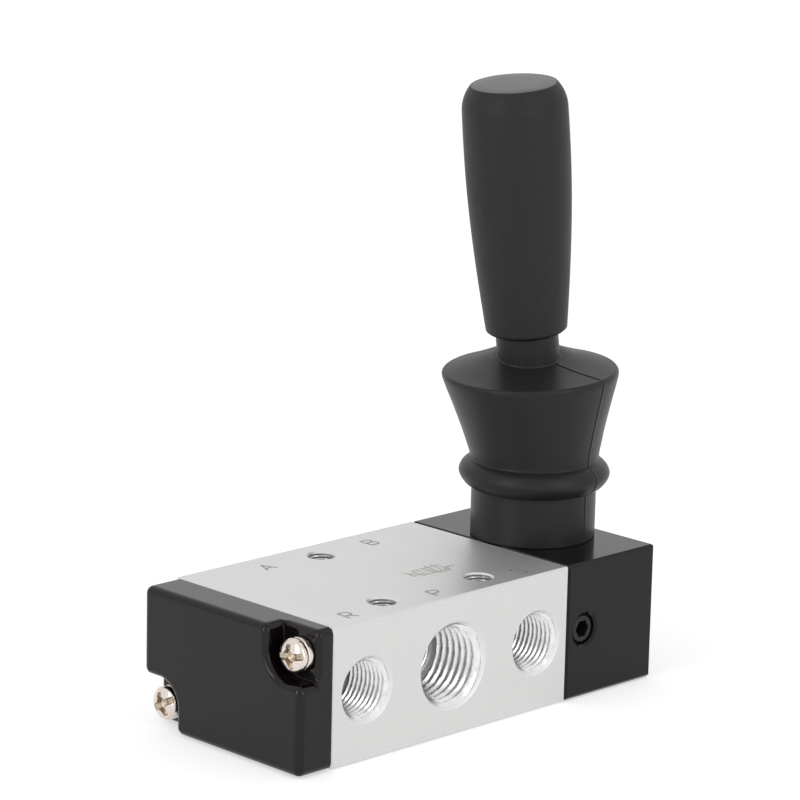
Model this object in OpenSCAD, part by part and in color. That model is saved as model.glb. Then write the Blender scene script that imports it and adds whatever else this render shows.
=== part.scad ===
// Hand lever reversing valve, five ports and two positions, in millimetres.
// X runs along the spool towards the lever end, -Y is the face with the supply
// and exhaust ports, +Z is up. The origin is under the middle of the body, on
// the face that it is bolted down on. The lever is drawn in its rest detent,
// leaning back over the body.

/* [Valve body] */
// Length of the ported body along the spool
body_l = 50.5; // [50:0.1:53]
// Depth from the exhaust face to the outlet face
body_d = 35; // [34:0.1:37]
// Height of the body
body_h = 22; // [21.4:0.1:24]
// Break of the machined edges
body_edge = 0.3; // [0.1:0.05:0.5]
// Radius of the spool bore
bore_r = 6; // [5.8:0.05:6.1]
// Depth of the flow grooves cut into the bore
groove_deep = 1.3; // [0.8:0.1:1.6]
// Width of each flow groove along the bore
groove_w = 4.4; // [3.6:0.1:4.6]
// Distance between neighbouring flow grooves
groove_pitch = 9.1; // [8.9:0.05:9.3]

/* [Ports] */
// Thread radius of the supply and the two outlet ports
large_port_r = 6.58; // [6:0.01:6.6]
// Thread radius of the two exhaust ports
small_port_r = 4.86; // [4:0.01:4.9]
// Depth of the thread in the large ports
large_port_deep = 9.5; // [8:0.1:10]
// Depth of the thread in the small ports
small_port_deep = 8.6; // [8:0.1:10]
// Chamfer at the mouth of each port
port_chamfer = 0.45; // [0.2:0.05:0.6]
// Radius of the relief below the large threads
relief_r = 4.9; // [3:0.1:5]
// Depth of that relief
relief_deep = 0.5; // [0.2:0.05:0.7]
// Distance from the supply port to each exhaust port
exhaust_pitch = 18.2; // [18.1:0.05:18.4]
// Distance from the middle to each outlet port
outlet_pitch = 11; // [10.8:0.1:11.2]
// Radius of the drilled passage from a port to its groove
passage_r = 2; // [1.2:0.1:2.1]

/* [Mounting holes] */
// Radius of the three through holes
mount_r = 2.15; // [1.6:0.05:2.3]
// Distance from the middle to each front hole along the body
mount_pitch = 10.3; // [10.1:0.05:10.5]
// Distance of the front holes from the front face
mount_front = 5.2; // [4.9:0.1:5.4]
// Distance of the rear hole from the rear face
mount_rear = 5.5; // [4.5:0.1:6]
// Chamfer at both ends of the holes
mount_chamfer = 0.25; // [0.1:0.05:0.4]

/* [End cap] */
// Thickness of the end cap
cap_t = 6.55; // [6.1:0.05:7.5]
// Step between the body and the cap, all round
cap_inset = 0.05; // [0:0.05:0.4]
// Rounding of the outer edges
cap_round = 1.2; // [0.6:0.1:1.4]
// Thickness of the flange under the screw heads
cap_flange = 2.9; // [2.4:0.05:3.2]
// Width of the two screw recesses, in from the side
recess_w = 7.6; // [7.4:0.1:8]
// Height of the screw recesses, in from the top or the underside
recess_h = 8.1; // [8:0.1:8.6]
// Radius of the inner corner of the recesses
recess_r = 4.2; // [3:0.1:4.5]
// Depth of the pocket that the spool runs into
cap_pocket = 4.9; // [4.75:0.05:5]
// Radial gap of the spool end in that pocket
pocket_gap = 0.3; // [0.2:0.05:0.4]

/* [Screws] */
// Radius of the screw shanks
screw_r = 1.5; // [1.2:0.05:1.6]
// Distance of the screws from the front or the rear face
screw_in = 3.45; // [3.3:0.05:3.7]
// Distance of the front screws from the top
screw_down = 4.1; // [3.8:0.05:4.2]
// Distance of the rear screws from the underside
screw_up = 3.7; // [3.6:0.05:4.1]
// Radius of the screw heads
head_r = 2.65; // [2.5:0.05:2.9]
// Height of the screw heads
head_h = 1.75; // [1.6:0.05:2.2]
// Height of the straight side of the heads
head_side = 0.65; // [0.5:0.05:1]
// Height of the spring washers, not pressed flat
washer_t = 1.35; // [1:0.05:1.5]
// Radius of the spring washers
washer_r = 2.7; // [2.6:0.05:2.9]
// Width of the slot and the cross in the heads
slot_w = 0.75; // [0.6:0.05:0.9]
// Length of the end cap screws
cap_screw_l = 10; // [9:0.1:10.2]
// Length of the lever housing screws
housing_screw_l = 20; // [19:0.1:21]
// Gap between a shank and its hole
shank_gap = 0.05; // [0.03:0.01:0.1]

/* [Lever housing] */
// Length of the lever housing along the spool
housing_l = 20.1; // [20:0.05:21]
// Break of its edges
housing_edge = 0.45; // [0.2:0.05:0.7]
// Depth of the pockets for its screw heads
head_pocket = 5; // [4:0.1:5.5]
// Radius of those pockets
head_pocket_r = 3.1; // [3:0.05:3.2]
// Length left solid at the far end of the spool rod bore
end_wall = 2.4; // [2:0.1:2.6]
// Radius of the well that the lever swings in
well_r = 6.2; // [6:0.05:6.4]

/* [Detent] */
// Distance of the detent from the joint with the body
detent_x = 4; // [3.9:0.05:4.2]
// Radius of the set screw
set_screw_r = 2.5; // [2.2:0.05:2.6]
// Length of the set screw
set_screw_l = 4.8; // [4:0.1:5]
// How far the set screw lies below the face
set_screw_sunk = 0.5; // [0.4:0.05:1]
// Width of its hexagon socket across the corners
hex_w = 2.9; // [2.6:0.05:3]
// Radius of the detent ball
detent_ball_r = 1.75; // [1.7:0.01:1.8]
// Depth of the two detent grooves in the spool rod
detent_deep = 0.5; // [0.3:0.05:0.6]
// Wire thickness of the detent spring
detent_wire = 0.45; // [0.35:0.05:0.5]

/* [Spool] */
// Radius of the rod at the lever end
rod_r = 5; // [4.9:0.02:5.06]
// Radial running gap of the rod and the spool
run_gap = 0.05; // [0.03:0.01:0.08]
// Radius of the waists between the seals
waist_r = 3.4; // [2.8:0.1:3.7]
// Section radius of the seal rings
ring_r = 0.9; // [0.8:0.02:0.95]
// Width of the shoulders on each side of a seal ring
shoulder_w = 0.7; // [0.5:0.05:0.8]
// Section of the rod seal between body and housing
rod_seal_w = 2; // [1.8:0.05:2.2]

/* [Lever] */
// Height of the pivot pin above the top of the housing
pivot_up = 10; // [9.6:0.1:10.4]
// Lean of the lever in its rest detent, in degrees
lean = 6.6; // [6:0.1:6.8]
// Radius of the lever shaft above the pivot
stem_r = 4; // [3.8:0.05:4.05]
// Radius of the lever shaft below the pivot
arm_r = 2.6; // [2.4:0.05:2.8]
// Radius of the hub round the pivot pin
hub_r = 4.9; // [4.6:0.05:5]
// Radius of the ball tip
tip_r = 2.5; // [2.4:0.05:2.6]
// Length of the thin neck above the ball tip
neck_l = 6.4; // [5.8:0.1:6.8]
// Radius of that neck
neck_r = 1.5; // [1.3:0.05:1.7]
// Radial gap of the ball tip in the spool
tip_gap = 0.05; // [0.03:0.01:0.1]
// Radius of the pivot pin
pin_r = 1.5; // [1.3:0.05:1.7]
// Radius of the turret
turret_r = 8; // [7.8:0.05:8.1]
// How deep the turret sits in the housing
turret_seat = 3.6; // [3.2:0.1:3.8]
// Height of the groove for the boot above the housing
groove_up = 1.6; // [1.4:0.1:2]
// Width of that groove
groove_h = 1.6; // [1.2:0.1:1.8]
// Depth of that groove
groove_in = 0.8; // [0.6:0.05:1]
// Height of the turret above the pivot pin
turret_up = 4; // [3.4:0.1:4.4]

/* [Handle] */
// Distance from the pivot to the underside of the handle
handle_from = 23.9; // [23.7:0.1:25]
// Length of the handle
handle_l = 40; // [36:0.5:44]
// Radius of the handle at its foot
handle_foot_r = 6.5; // [6:0.1:7]
// Largest radius of the handle
handle_r = 8.3; // [7.5:0.1:9]
// Radius of the arc that closes the handle at the top
crown_r = 6; // [5:0.1:7]
// How far below the top that arc starts
crown_down = 3.9; // [3:0.1:4.5]
// Radius of the threaded insert
insert_r = 4.6; // [4.2:0.05:5]
// Length of the threaded insert
insert_l = 14; // [10:0.5:18]
// Radius of the threaded end of the lever
thread_r = 3; // [2.6:0.05:3.3]

/* [Boot] */
// Radius of the foot of the boot
boot_r = 10; // [9.9:0.05:10.5]
// Wall of the boot
boot_wall = 1.5; // [1.3:0.05:1.6]
// Section radius of the bead
bead_r = 2.55; // [2.4:0.05:2.7]
// Outer radius of the bead
bead_out = 12.1; // [12:0.05:12.5]
// Height of the middle of the bead above the housing
bead_up = 10.35; // [10.2:0.05:10.5]
// Radius at the waist above the bead
boot_waist_r = 10.35; // [10.2:0.05:10.8]
// Radius of the shoulder
shoulder_r = 14; // [13:0.1:15]
// Distance from the pivot to the shoulder
shoulder_s = 17.1; // [16.5:0.1:18]
// Rise of the domed top above the shoulder
dome_up = 2.1; // [1.8:0.1:2.4]
// Gap between the neck of the boot and the lever
neck_gap = 0.1; // [0.05:0.01:0.2]

/* [Hidden] */
$fn = 96;

// Overrun of cutting shapes
cut = 1;
// Gap between parts that are pressed or clamped together
seat = 0.02;

axis_z = body_h / 2;
body_end = body_l / 2;
cap_face = -body_end - cap_t;
housing_end = body_end + housing_l;
lever_x = body_end + housing_l / 2;
pivot_z = body_h + pivot_up;
arm_l = pivot_z - axis_z;
tip_x = lever_x + arm_l * sin(lean);
tip_z = pivot_z - arm_l * cos(lean);
stroke = 2 * arm_l * sin(lean);
detent_at = body_end + detent_x;
rod_end = housing_end - end_wall - 1;
groove_r = bore_r + groove_deep;
spool_r = bore_r - run_gap;
ring_centre_r = spool_r - ring_r;
ring_groove_r = ring_centre_r - ring_r - seat;
ring_groove_w = 2 * ring_r + 0.2;
seal_seat_r = rod_r + run_gap + rod_seal_w;
land_mid = groove_pitch / 2;
cap_seal_r = 0.6;
cap_seal_ring = bore_r + pocket_gap + 2;
front_hole_y = -body_d / 2 + mount_front;
rear_hole_y = body_d / 2 - mount_rear;
ball_y = -rod_r - seat - detent_ball_r;
set_screw_y = -body_d / 2 + set_screw_sunk;
handle_top = handle_from + handle_l;

// Places of the cap and housing screws: front above the axis, rear below it
SCREWS = [
  [-body_d / 2 + screw_in, body_h - screw_down],
  [body_d / 2 - screw_in, screw_up]
];

// The seal rings of the spool, from the exhaust side to the lever side
RINGS = [
  -land_mid - groove_pitch,
  -land_mid + stroke,
  land_mid,
  land_mid + groove_pitch + stroke
];

// Turns a shape whose axis is Z so that it lies along X
module along_x() {
  rotate([0, 90, 0]) children();
}

// Round bar along X between two places, centred on the spool axis
module bar_x(from, to, r) {
  translate([from, 0, axis_z]) along_x() cylinder(h = to - from, r = r);
}

// Body of revolution about the spool axis from [radius, x] pairs
module turned_x(points) {
  translate([0, 0, axis_z]) along_x() rotate_extrude() polygon(points);
}

// Seal ring about the spool axis
module ring_x(x, ring, section) {
  translate([x, 0, axis_z]) along_x() rotate_extrude() translate([ring, 0]) circle(section);
}

// Rectangle with broken corners
module broken_rect(a, b, c) {
  polygon([
    [-a / 2 + c, -b / 2], [a / 2 - c, -b / 2], [a / 2, -b / 2 + c], [a / 2, b / 2 - c],
    [a / 2 - c, b / 2], [-a / 2 + c, b / 2], [-a / 2, b / 2 - c], [-a / 2, -b / 2 + c]
  ]);
}

// Block with all edges broken, its low corner plane at x = from
module block(from, size, c) {
  mid = [from + size.x / 2, 0, axis_z];
  translate(mid) intersection() {
    linear_extrude(size.z + cut, center = true) broken_rect(size.x, size.y, c);
    rotate([90, 0, 0]) linear_extrude(size.y + cut, center = true)
      broken_rect(size.x, size.z, c);
    rotate([90, 0, 90]) linear_extrude(size.x + cut, center = true)
      broken_rect(size.y, size.z, c);
  }
}

// Points of a quarter turn of radius r about a centre, starting at an angle
function corner(cx, cy, r, start, steps = 5) =
  [for (i = [0:steps]) [cx + r * cos(start + 90 * i / steps), cy + r * sin(start + 90 * i / steps)]];

// Rectangle with four round corners
module round_rect(a, b, r) {
  x = a / 2 - r;
  y = b / 2 - r;
  polygon(concat(corner(x, y, r, 0), corner(-x, y, r, 90), corner(-x, -y, r, 180),
                 corner(x, -y, r, 270)));
}

// Rectangle from x = 0 to x = -a with round corners at the far side only
module round_end(a, b, r) {
  y = b / 2 - r;
  polygon(concat([[0, -b / 2], [0, b / 2]], corner(-a + r, y, r, 90),
                 corner(-a + r, -y, r, 180)));
}

// Places children at the two screws
module at_screws() {
  for (p = SCREWS) translate([0, p[0], p[1]]) children();
}

// Threaded port on the front (side -1) or the rear (side 1) of the body
module port(x, side, r, deep, passage_x) {
  translate([x, side * body_d / 2, axis_z]) rotate([side * 90, 0, 0]) {
    translate([0, 0, -cut]) cylinder(h = deep + cut, r = r);
    translate([0, 0, -cut]) cylinder(h = cut + port_chamfer, r1 = r + port_chamfer + cut, r2 = r);
  }
  translate([passage_x, side * body_d / 2, axis_z]) rotate([side * 90, 0, 0])
    cylinder(h = body_d / 2 - bore_r, r = passage_r);
}

// Relief below a large thread
module relief(x, side) {
  translate([x, side * body_d / 2, axis_z]) rotate([side * 90, 0, 0])
    cylinder(h = large_port_deep + relief_deep, r = relief_r);
}

// Through hole with both ends chamfered
module mount_hole(x, y) {
  flare = mount_r + mount_chamfer + cut;
  translate([x, y, 0]) {
    translate([0, 0, -cut]) cylinder(h = body_h + 2 * cut, r = mount_r);
    translate([0, 0, -cut]) cylinder(h = cut + mount_chamfer, r1 = flare, r2 = mount_r);
    translate([0, 0, body_h - mount_chamfer])
      cylinder(h = cut + mount_chamfer, r1 = mount_r, r2 = flare);
  }
}

// Extruded body: spool bore with its five flow grooves, ports and holes
module valve_body() {
  color("gainsboro") difference() {
    block(-body_end, [body_l, body_d, body_h], body_edge);
    bar_x(-body_end - cut, body_end + cut, bore_r);
    for (i = [-2:2])
      bar_x(i * groove_pitch - groove_w / 2, i * groove_pitch + groove_w / 2, groove_r);
    bar_x(body_end - rod_seal_w - 0.1, body_end + cut, seal_seat_r);
    port(0, -1, large_port_r, large_port_deep, 0);
    relief(0, -1);
    for (s = [-1, 1]) {
      port(s * exhaust_pitch, -1, small_port_r, small_port_deep, s * 2 * groove_pitch);
      port(s * outlet_pitch, 1, large_port_r, large_port_deep, s * groove_pitch);
      relief(s * outlet_pitch, 1);
      mount_hole(s * mount_pitch, front_hole_y);
    }
    mount_hole(0, rear_hole_y);
    at_screws() translate([-body_end - cut, 0, 0]) along_x()
      cylinder(h = cap_screw_l - cap_flange - washer_t + cut + 0.3, r = screw_r + shank_gap);
    at_screws() translate([body_end + cut, 0, 0]) rotate([0, -90, 0])
      cylinder(h = housing_thread_l + cut + 0.3, r = screw_r + shank_gap);
  }
}

// Length of the housing screws that enters the body
housing_thread_l = housing_screw_l - (housing_l - head_pocket) - washer_t;

// Moulded end cap with its two screw recesses and the pocket for the spool
module end_cap() {
  deep = body_d - 2 * cap_inset;
  high = body_h - 2 * cap_inset;
  color("#2b2a2a") difference() {
    translate([-body_end, 0, axis_z]) intersection() {
      linear_extrude(high + cut, center = true) round_end(cap_t, deep, cap_round);
      rotate([90, 0, 0]) linear_extrude(deep + cut, center = true)
        round_end(cap_t, high, cap_round);
      rotate([90, 0, -90]) translate([0, 0, -cut]) linear_extrude(cap_t + 2 * cut)
        round_rect(deep, high, cap_round);
    }
    screw_recess();
    translate([0, 0, body_h]) mirror([0, 1, 0]) mirror([0, 0, 1]) screw_recess();
    bar_x(-body_end - cap_pocket, -body_end + cut, bore_r + pocket_gap);
    turned_x([
      [cap_seal_ring - cap_seal_r, -body_end + cut], [cap_seal_ring + cap_seal_r, -body_end + cut],
      [cap_seal_ring + cap_seal_r, -body_end - 2 * cap_seal_r],
      [cap_seal_ring - cap_seal_r, -body_end - 2 * cap_seal_r]
    ]);
    at_screws() translate([cap_face - cut, 0, 0]) along_x()
      cylinder(h = cap_t + 2 * cut, r = screw_r + 2 * shank_gap);
  }
}

// Lower rear corner of the end cap, cut away round a screw head
module screw_recess() {
  deep = cap_t - cap_flange;
  side = body_d / 2 - recess_w;
  translate([cap_face - cut, side, -cut]) {
    translate([0, recess_r, recess_h + cut - recess_r]) along_x()
      cylinder(h = deep + cut, r = recess_r);
    translate([0, recess_r, 0]) cube([deep + cut, recess_w + cut, recess_h + cut]);
    cube([deep + cut, recess_w + cut, recess_h + cut - recess_r]);
  }
}

// Ring between end cap and body, round the pocket
module end_cap_seal() {
  color("#1c1c1c") ring_x(-body_end - cap_seal_r, cap_seal_ring, cap_seal_r - seat / 2);
}

// Pan head screw along +X from the origin, head on the -X side, with a slot
// across the head and a cross in the middle
module pan_screw(length) {
  dome = head_h - head_side;
  difference() {
    along_x() rotate_extrude() polygon(concat(
      [[0, length], [screw_r - 0.3, length], [screw_r, length - 0.3], [screw_r, 0],
       [head_r - 0.3, 0], [head_r, -0.35], [head_r, -head_h + dome]],
      [for (a = [15:15:90]) [head_r * cos(a), -head_h + dome - dome * sin(a)]]
    ));
    translate([-head_h - cut, -head_r, -slot_w / 2]) cube([cut + 0.8, 2 * head_r, slot_w]);
    translate([-head_h - cut, -slot_w / 2, -1.7]) cube([cut + 1.2, slot_w, 3.4]);
    translate([-head_h - cut, -1.7, -slot_w / 2]) cube([cut + 1.2, 3.4, slot_w]);
  }
}

// Spring washer along +X from the origin, with its split
module spring_washer() {
  difference() {
    along_x() cylinder(h = washer_t, r = washer_r);
    translate([-cut, 0, 0]) along_x() cylinder(h = washer_t + 2 * cut, r = screw_r + 2 * shank_gap);
    translate([-cut, 0, -0.2]) rotate([12, 0, 0]) cube([washer_t + 2 * cut, washer_r + cut, 0.35]);
  }
}

module end_cap_screws() {
  color("#cfc8bd") at_screws()
    translate([-body_end - cap_flange - washer_t, 0, 0]) pan_screw(cap_screw_l);
}

module end_cap_washers() {
  color("#bdb7ad") at_screws()
    translate([-body_end - cap_flange - washer_t, 0, 0]) spring_washer();
}

module housing_screws() {
  color("#cfc8bd") at_screws()
    translate([housing_end - head_pocket + washer_t, 0, 0]) mirror([1, 0, 0])
      pan_screw(housing_screw_l);
}

module housing_washers() {
  color("#bdb7ad") at_screws()
    translate([housing_end - head_pocket, 0, 0]) spring_washer();
}

// Spool: left guide, four seal seats, waists between them, rod with its two
// detent grooves and the hole for the ball tip of the lever
module spool() {
  guide_from = -body_end + 0.4;
  guide_to = guide_from + stroke + 0.8;
  color("silver") difference() {
    union() {
      turned_x([
        [0, guide_from], [spool_r - 0.3, guide_from], [spool_r, guide_from + 0.3],
        [spool_r, guide_to - 0.3], [spool_r - 0.3, guide_to], [0, guide_to]
      ]);
      bar_x(guide_to - cut, body_end - rod_seal_w - cut, waist_r);
      for (x = RINGS) seal_seat(x);
      turned_x([
        [0, rod_from - 0.6], [waist_r, rod_from - 0.6], [rod_r, rod_from + 0.6],
        [rod_r, rod_end - 0.5], [rod_r - 0.5, rod_end], [0, rod_end]
      ]);
    }
    for (x = [detent_at, detent_at + stroke]) detent_groove(x);
    translate([tip_x, 0, axis_z - tip_r - 0.4]) cylinder(h = rod_r + 2 * tip_r, r = tip_r + tip_gap);
  }
}

// Place where the full rod begins
rod_from = 2 * groove_pitch + 0.8;

// Shoulders with the groove for one seal ring
module seal_seat(x) {
  half = ring_groove_w / 2;
  turned_x([
    [0, x - half - shoulder_w], [spool_r - 0.25, x - half - shoulder_w],
    [spool_r - 0.25, x - half], [ring_groove_r, x - half],
    [ring_groove_r, x + half], [spool_r - 0.25, x + half],
    [spool_r - 0.25, x + half + shoulder_w], [0, x + half + shoulder_w]
  ]);
}

// Round groove that the detent ball drops into
module detent_groove(x) {
  ring_x(x, rod_r - detent_deep + detent_ball_r, detent_ball_r);
}

module spool_seals() {
  color("#202020") for (x = RINGS) ring_x(x, ring_centre_r, ring_r);
}

// Lip seal round the rod, clamped between body and housing
module rod_seal() {
  from = body_end - rod_seal_w;
  inner = rod_r + run_gap;
  outer = seal_seat_r - seat;
  mid = (inner + outer) / 2;
  color("#202020") turned_x([
    [inner, body_end], [outer, body_end], [outer, from], [outer - 0.5, from],
    [mid, from + rod_seal_w / 2], [inner + 0.5, from], [inner, from]
  ]);
}

// Lever housing: rod bore, well for the lever, seat of the turret, detent hole
module lever_housing() {
  color("#262626") difference() {
    block(body_end, [housing_l, body_d, body_h], housing_edge);
    bar_x(body_end - cut, housing_end - end_wall, rod_r + run_gap);
    translate([lever_x, 0, axis_z]) cylinder(h = body_h, r = well_r);
    translate([lever_x, 0, body_h - turret_seat]) cylinder(h = body_h, r = turret_r + seat);
    translate([detent_at, -body_d / 2, axis_z]) rotate([-90, 0, 0]) {
      translate([0, 0, -cut]) cylinder(h = body_d / 2 + cut, r = detent_ball_r + run_gap);
      translate([0, 0, -cut])
        cylinder(h = set_screw_sunk + set_screw_l + cut, r = set_screw_r + seat);
      translate([0, 0, -cut])
        cylinder(h = cut + 0.4, r1 = set_screw_r + 0.4 + cut, r2 = set_screw_r);
    }
    at_screws() {
      translate([body_end - cut, 0, 0]) along_x()
        cylinder(h = housing_l + 2 * cut, r = screw_r + 2 * shank_gap);
      translate([housing_end - head_pocket, 0, 0]) along_x()
        cylinder(h = head_pocket + cut, r = head_pocket_r);
    }
  }
}

// Set screw that loads the detent spring
module detent_set_screw() {
  color("#1a1a1a") translate([detent_at, set_screw_y, axis_z]) rotate([-90, 0, 0]) difference() {
    rotate_extrude() polygon([
      [0, 0], [set_screw_r - 0.45, 0], [set_screw_r, 0.45], [set_screw_r, set_screw_l - 0.4],
      [set_screw_r - 0.4, set_screw_l], [0, set_screw_l]
    ]);
    translate([0, 0, -cut]) cylinder(h = 2.2 + cut, d = hex_w, $fn = 6);
  }
}

// Points of a round section at each step along the coils of the spring
function coil_ring(r, rise, turns, wire, i, steps, sides) =
  let (a = 360 * turns * i / steps)
  [for (j = [0:sides - 1])
    let (b = 360 * j / sides)
    [(r + wire * cos(b)) * cos(a), (r + wire * cos(b)) * sin(a), rise * i / steps + wire * sin(b)]];

// Closed coil spring about Z with its lowest wire at z = 0
module coil_spring(r, high, turns, wire_r) {
  sides = 8;
  steps = 20 * turns;
  rise = high - 2 * wire_r;
  points = [for (i = [0:steps]) each coil_ring(r, rise, turns, wire_r, i, steps, sides)];
  walls = [for (i = [0:steps - 1]) for (j = [0:sides - 1])
    let (k = (j + 1) % sides)
    [i * sides + j, (i + 1) * sides + j, (i + 1) * sides + k, i * sides + k]];
  first = [for (j = [0:sides - 1]) j];
  last = [for (j = [sides - 1:-1:0]) steps * sides + j];
  translate([0, 0, wire_r]) polyhedron(points, concat(walls, [first, last]), 4);
}

module detent_spring() {
  from = set_screw_y + set_screw_l + seat;
  to = ball_y - detent_ball_r * 0.8;
  color("#9a9a9a") translate([detent_at, from, axis_z]) rotate([-90, 0, 0])
    coil_spring(detent_ball_r - detent_wire / 2 - 0.2, to - from, 4, detent_wire / 2);
}

module detent_ball() {
  color("#d8d8d8") translate([detent_at, ball_y, axis_z]) sphere(r = detent_ball_r);
}

// Turned turret that carries the pivot pin, with a groove for the boot
module lever_turret() {
  base = body_h - turret_seat + seat;
  top = pivot_z + turret_up;
  color("#a8a8a8") translate([lever_x, 0, 0]) difference() {
    rotate_extrude() polygon([
      [well_r, base], [turret_r - 0.3, base], [turret_r, base + 0.3],
      [turret_r, body_h + groove_up], [turret_r - groove_in, body_h + groove_up],
      [turret_r - groove_in, body_h + groove_up + groove_h],
      [turret_r, body_h + groove_up + groove_h], [turret_r, top - 0.8], [turret_r - 0.8, top],
      [well_r + 0.6, top], [well_r, top - 1.2]
    ]);
    translate([0, 0, pivot_z]) rotate([90, 0, 0])
      cylinder(h = 3 * turret_r, r = pin_r + seat, center = true);
    translate([0, 0, turret_seal_z]) rotate_extrude() translate([turret_r, 0])
      circle(turret_seal_section);
  }
}

// Section of the seal ring round the foot of the turret, and its height
turret_seal_section = 0.6;
turret_seal_z = body_h - turret_seat / 2;

// Seal ring in the foot of the turret, flush with its wall
module turret_seal() {
  color("#202020") translate([lever_x, 0, turret_seal_z]) intersection() {
    rotate_extrude() translate([turret_r, 0]) circle(turret_seal_section - seat);
    cylinder(h = 4, r = turret_r, center = true);
  }
}

// Pivot pin, held in the turret and trapped by the boot
module pivot_pin() {
  half = turret_r - 0.2;
  color("silver") translate([lever_x, 0, pivot_z]) rotate([90, 0, 0]) rotate_extrude() polygon([
    [0, -half], [pin_r - 0.3, -half], [pin_r, -half + 0.3],
    [pin_r, half - 0.3], [pin_r - 0.3, half], [0, half]
  ]);
}

// Places children on the leaning lever axis, pivot at their origin
module on_lever() {
  translate([lever_x, 0, pivot_z]) rotate([0, -lean, 0]) children();
}

// Lever: ball tip, lower arm, hub, shaft and the threaded end in the handle
module lever_stem() {
  thread_end = handle_from + insert_l + 1.5;
  hub_up = 4;
  color("#8f8f8f") on_lever() difference() {
    union() {
      translate([0, 0, -arm_l]) sphere(r = tip_r);
      rotate_extrude() polygon([
        [0, -arm_l], [neck_r, -arm_l], [neck_r, -arm_l + neck_l], [arm_r, -arm_l + neck_l + 1.4],
        [arm_r, -hub_up - 1.5], [hub_r, -hub_up], [hub_r, hub_up], [stem_r, hub_up + 0.9],
        [stem_r, handle_from - 0.4], [thread_r, handle_from + 0.2], [thread_r, thread_end - 0.5],
        [thread_r - 0.5, thread_end], [0, thread_end]
      ]);
    }
    rotate([90, 0, 0]) cylinder(h = 4 * hub_r, r = pin_r + run_gap, center = true);
  }
}

// Knurled insert moulded into the handle
module handle_insert() {
  teeth = 24;
  color("#c9a24b") on_lever() translate([0, 0, handle_from + 0.25]) difference() {
    linear_extrude(insert_l) polygon([for (i = [0:2 * teeth - 1])
      let (a = 180 * i / teeth, r = insert_r - (i % 2) * 0.3) [r * cos(a), r * sin(a)]]);
    translate([0, 0, -cut]) cylinder(h = insert_l + 2 * cut, r = thread_r + shank_gap);
    translate([0, 0, insert_l / 2]) rotate_extrude() translate([insert_r - 0.6, -0.8])
      square([2, 1.6]);
  }
}

// Radius of the handle at a fraction t of the way from foot to widest place
function swell(t) = handle_foot_r + (handle_r - handle_foot_r) * sin(90 * pow(t, 1.1));

// Moulded handle: swelling grip, arc at the crown, blind hole for the insert
module handle_grip() {
  foot = 0.7;
  wide_at = handle_l * 0.75;
  crown_at = handle_l - crown_down;
  steps = 14;
  color("#2a2a2a") on_lever() translate([0, 0, handle_from]) difference() {
    rotate_extrude() polygon(concat(
      [[0, 0], [handle_foot_r - foot, 0], [handle_foot_r - 0.15, foot * 0.6]],
      [for (i = [0:steps]) [swell(i / steps), foot + 0.2 + (wide_at - foot) * i / steps]],
      [for (i = [0:6]) let (a = asin(crown_down / crown_r) * i / 6)
        [handle_r - crown_r * (1 - cos(a)), crown_at + crown_r * sin(a)]],
      [[0, handle_l]]
    ));
    translate([0, 0, -cut]) cylinder(h = cut + 0.25, r = stem_r + 0.3);
    cylinder(h = 0.27 + insert_l + seat, r = insert_r + seat);
    cylinder(h = insert_l + 3, r = thread_r + shank_gap);
  }
}

// Half profile of the foot of the boot with its lip and bead
function boot_foot() = let (bead_z = body_h + bead_up) concat(
  [[boot_r - boot_wall, body_h + seat], [boot_r, body_h + seat]],
  [for (i = [0:10]) let (a = -79 + 13.2 * i)
    [bead_out - bead_r + bead_r * cos(a), bead_z + bead_r * sin(a)]],
  [
    [boot_r - boot_wall, bead_z + 1.9], [boot_r - boot_wall, lip_z + lip_t],
    [lip_r, lip_z + lip_t], [lip_r, lip_z], [boot_r - boot_wall, lip_z]
  ]
);

// Inner lip of the foot, which lies in the groove of the turret
lip_z = body_h + groove_up + 0.2;
lip_t = groove_h - 0.4;
lip_r = turret_r - groove_in + seat;

// Half profile of the leaning part, along the lever axis from the pivot: waist,
// cone, shoulder, dome and neck, then back down the inside
function boot_cone() = let (
  w = boot_wall,
  in_r = boot_waist_r - w,
  neck_in = stem_r + neck_gap,
  neck_top = handle_from - 0.4,
  wide = shoulder_r,
  up = shoulder_s
) [
  [in_r, 0.35], [boot_waist_r, 0.35], [boot_waist_r, 3.2], [boot_waist_r + 0.3, 5],
  [wide - 0.25, up - 1.4], [wide, up - 0.5], [wide - 0.15, up], [wide - 0.7, up + 0.35],
  [wide * 0.83, up + dome_up * 0.5], [wide * 0.66, up + dome_up * 0.82],
  [wide * 0.52, up + dome_up * 0.95], [stem_r + 1.4, up + dome_up],
  [stem_r + 0.9, neck_top], [neck_in, neck_top],
  [neck_in, up + dome_up - w], [wide * 0.66 - w / 2, up + dome_up * 0.82 - w],
  [wide * 0.83 - w / 2, up + dome_up * 0.5 - w], [wide - w, up - w * 0.8],
  [in_r + 0.3, 5]
];

// Rubber boot: upright foot on the turret with the bead, then the part that
// leans with the lever and grips it with its neck
module dust_boot() {
  color("#303030") {
    translate([lever_x, 0, 0]) rotate_extrude() polygon(boot_foot());
    on_lever() rotate_extrude() polygon(boot_cone());
  }
}

valve_body();
end_cap();
end_cap_seal();
end_cap_screws();
end_cap_washers();
spool();
spool_seals();
rod_seal();
lever_housing();
housing_screws();
housing_washers();
detent_set_screw();
detent_spring();
detent_ball();
lever_turret();
turret_seal();
pivot_pin();
lever_stem();
handle_insert();
handle_grip();
dust_boot();
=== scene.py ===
"""Hand lever reversing valve: finishes, fine detail and stage.

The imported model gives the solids. This script sets the stage and the camera,
adds the port threads and the etched marks, makes the end cap, screws, washers,
handle and boot as finer surfaces, and gives every piece its finish. Lengths
are in metres, apart from outlines, which are in millimetres until they are
multiplied by MM.
"""

import math

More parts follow.
